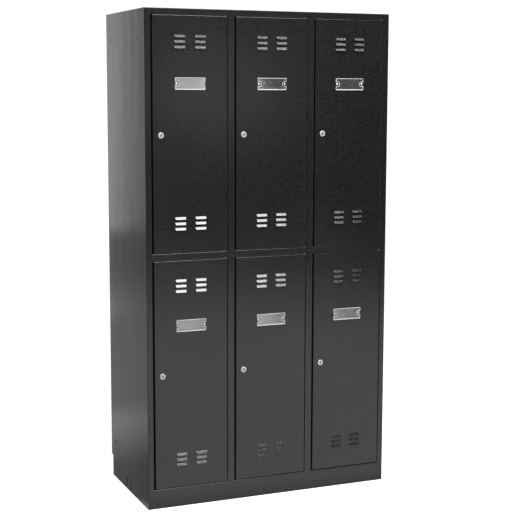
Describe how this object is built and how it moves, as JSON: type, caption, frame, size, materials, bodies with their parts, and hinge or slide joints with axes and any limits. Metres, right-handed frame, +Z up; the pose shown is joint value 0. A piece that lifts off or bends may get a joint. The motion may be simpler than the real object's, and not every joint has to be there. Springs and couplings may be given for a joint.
{
  "type": "locker cabinet",
  "caption": "Free-standing steel locker cabinet with inset louvred doors on hidden pivots, each with a clear label holder and a cam lock, and a recess for a skirting board.",
  "frame": {"origin": "on the floor under the middle of the carcass (midway between the side panels, and between the face of the front frame and the back)", "axes": "+Z up, +X to the right of someone facing the doors, the doors face -Y"},
  "size_m": [0.9, 0.4567, 1.69],
  "materials": {
    "door_paint": "fine textured powder coat, satin",
    "frame_paint": "fine textured powder coat, satin",
    "panel_paint": "fine textured powder coat, satin",
    "lock_chrome": "polished nickel chrome plate",
    "rivet_aluminium": "bright",
    "zinc_steel": "zinc plated",
    "clear_plastic": "clear, glossy",
    "nylon": "matte",
    "rubber": "matte"
  },
  "bodies": {
    "carcass": {"side_panel_left": "panel_paint", "side_panel_right": "panel_paint", "back_panel": "panel_paint", "top_panel": "panel_paint", "floor_panel": "panel_paint", "partition_left": "panel_paint", "partition_right": "panel_paint", "shelf_left": "panel_paint", "shelf_center": "panel_paint", "shelf_right": "panel_paint", "stile_left": "frame_paint", "stile_right": "frame_paint", "mullion_left": "frame_paint", "mullion_right": "frame_paint", "top_rail": "frame_paint", "middle_rails": "frame_paint", "plinth": "frame_paint", "rear_plinth": "panel_paint", "hinge_pins": "zinc_steel", "hinge_washers": "nylon", "door_buffers": "rubber", "coat_hooks": "zinc_steel", "back_rivets": "rivet_aluminium"},
    "leaf_lower_left": {"door_lower_left": "door_paint", "stiffener_lower_left": "door_paint", "lock_body_lower_left": "lock_chrome", "label_holder_lower_left": "clear_plastic", "label_rivets_lower_left": "rivet_aluminium"},
    "latch_lower_left": {"lock_plug_lower_left": "lock_chrome"},
    "leaf_lower_center": {"door_lower_center": "door_paint", "stiffener_lower_center": "door_paint", "lock_body_lower_center": "lock_chrome", "label_holder_lower_center": "clear_plastic", "label_rivets_lower_center": "rivet_aluminium"},
    "latch_lower_center": {"lock_plug_lower_center": "lock_chrome"},
    "leaf_lower_right": {"door_lower_right": "door_paint", "stiffener_lower_right": "door_paint", "lock_body_lower_right": "lock_chrome", "label_holder_lower_right": "clear_plastic", "label_rivets_lower_right": "rivet_aluminium"},
    "latch_lower_right": {"lock_plug_lower_right": "lock_chrome"},
    "leaf_upper_left": {"door_upper_left": "door_paint", "stiffener_upper_left": "door_paint", "lock_body_upper_left": "lock_chrome", "label_holder_upper_left": "clear_plastic", "label_rivets_upper_left": "rivet_aluminium"},
    "latch_upper_left": {"lock_plug_upper_left": "lock_chrome"},
    "leaf_upper_center": {"door_upper_center": "door_paint", "stiffener_upper_center": "door_paint", "lock_body_upper_center": "lock_chrome", "label_holder_upper_center": "clear_plastic", "label_rivets_upper_center": "rivet_aluminium"},
    "latch_upper_center": {"lock_plug_upper_center": "lock_chrome"},
    "leaf_upper_right": {"door_upper_right": "door_paint", "stiffener_upper_right": "door_paint", "lock_body_upper_right": "lock_chrome", "label_holder_upper_right": "clear_plastic", "label_rivets_upper_right": "rivet_aluminium"},
    "latch_upper_right": {"lock_plug_upper_right": "lock_chrome"}
  },
  "joints": [
    {"name": "door_hinge_lower_left", "type": "hinge", "parent": "carcass", "child": "leaf_lower_left", "pos_m": [-0.1665, -0.2205, 0.462], "axis": [0, 0, 1], "range_deg": [0, 105]},
    {"name": "lock_turn_lower_left", "type": "hinge", "parent": "leaf_lower_left", "child": "latch_lower_left", "pos_m": [-0.396, -0.225, 0.462], "axis": [0, 1, 0], "range_deg": [0, 90]},
    {"name": "door_hinge_lower_center", "type": "hinge", "parent": "carcass", "child": "leaf_lower_center", "pos_m": [0.1285, -0.2205, 0.462], "axis": [0, 0, 1], "range_deg": [0, 105]},
    {"name": "lock_turn_lower_center", "type": "hinge", "parent": "leaf_lower_center", "child": "latch_lower_center", "pos_m": [-0.101, -0.225, 0.462], "axis": [0, 1, 0], "range_deg": [0, 90]},
    {"name": "door_hinge_lower_right", "type": "hinge", "parent": "carcass", "child": "leaf_lower_right", "pos_m": [0.4235, -0.2205, 0.462], "axis": [0, 0, 1], "range_deg": [0, 105]},
    {"name": "lock_turn_lower_right", "type": "hinge", "parent": "leaf_lower_right", "child": "latch_lower_right", "pos_m": [0.194, -0.225, 0.462], "axis": [0, 1, 0], "range_deg": [0, 90]},
    {"name": "door_hinge_upper_left", "type": "hinge", "parent": "carcass", "child": "leaf_upper_left", "pos_m": [-0.1665, -0.2205, 1.275], "axis": [0, 0, 1], "range_deg": [0, 105]},
    {"name": "lock_turn_upper_left", "type": "hinge", "parent": "leaf_upper_left", "child": "latch_upper_left", "pos_m": [-0.396, -0.225, 1.275], "axis": [0, 1, 0], "range_deg": [0, 90]},
    {"name": "door_hinge_upper_center", "type": "hinge", "parent": "carcass", "child": "leaf_upper_center", "pos_m": [0.1285, -0.2205, 1.275], "axis": [0, 0, 1], "range_deg": [0, 105]},
    {"name": "lock_turn_upper_center", "type": "hinge", "parent": "leaf_upper_center", "child": "latch_upper_center", "pos_m": [-0.101, -0.225, 1.275], "axis": [0, 1, 0], "range_deg": [0, 90]},
    {"name": "door_hinge_upper_right", "type": "hinge", "parent": "carcass", "child": "leaf_upper_right", "pos_m": [0.4235, -0.2205, 1.275], "axis": [0, 0, 1], "range_deg": [0, 105]},
    {"name": "lock_turn_upper_right", "type": "hinge", "parent": "leaf_upper_right", "child": "latch_upper_right", "pos_m": [0.194, -0.225, 1.275], "axis": [0, 1, 0], "range_deg": [0, 90]}
  ]
}
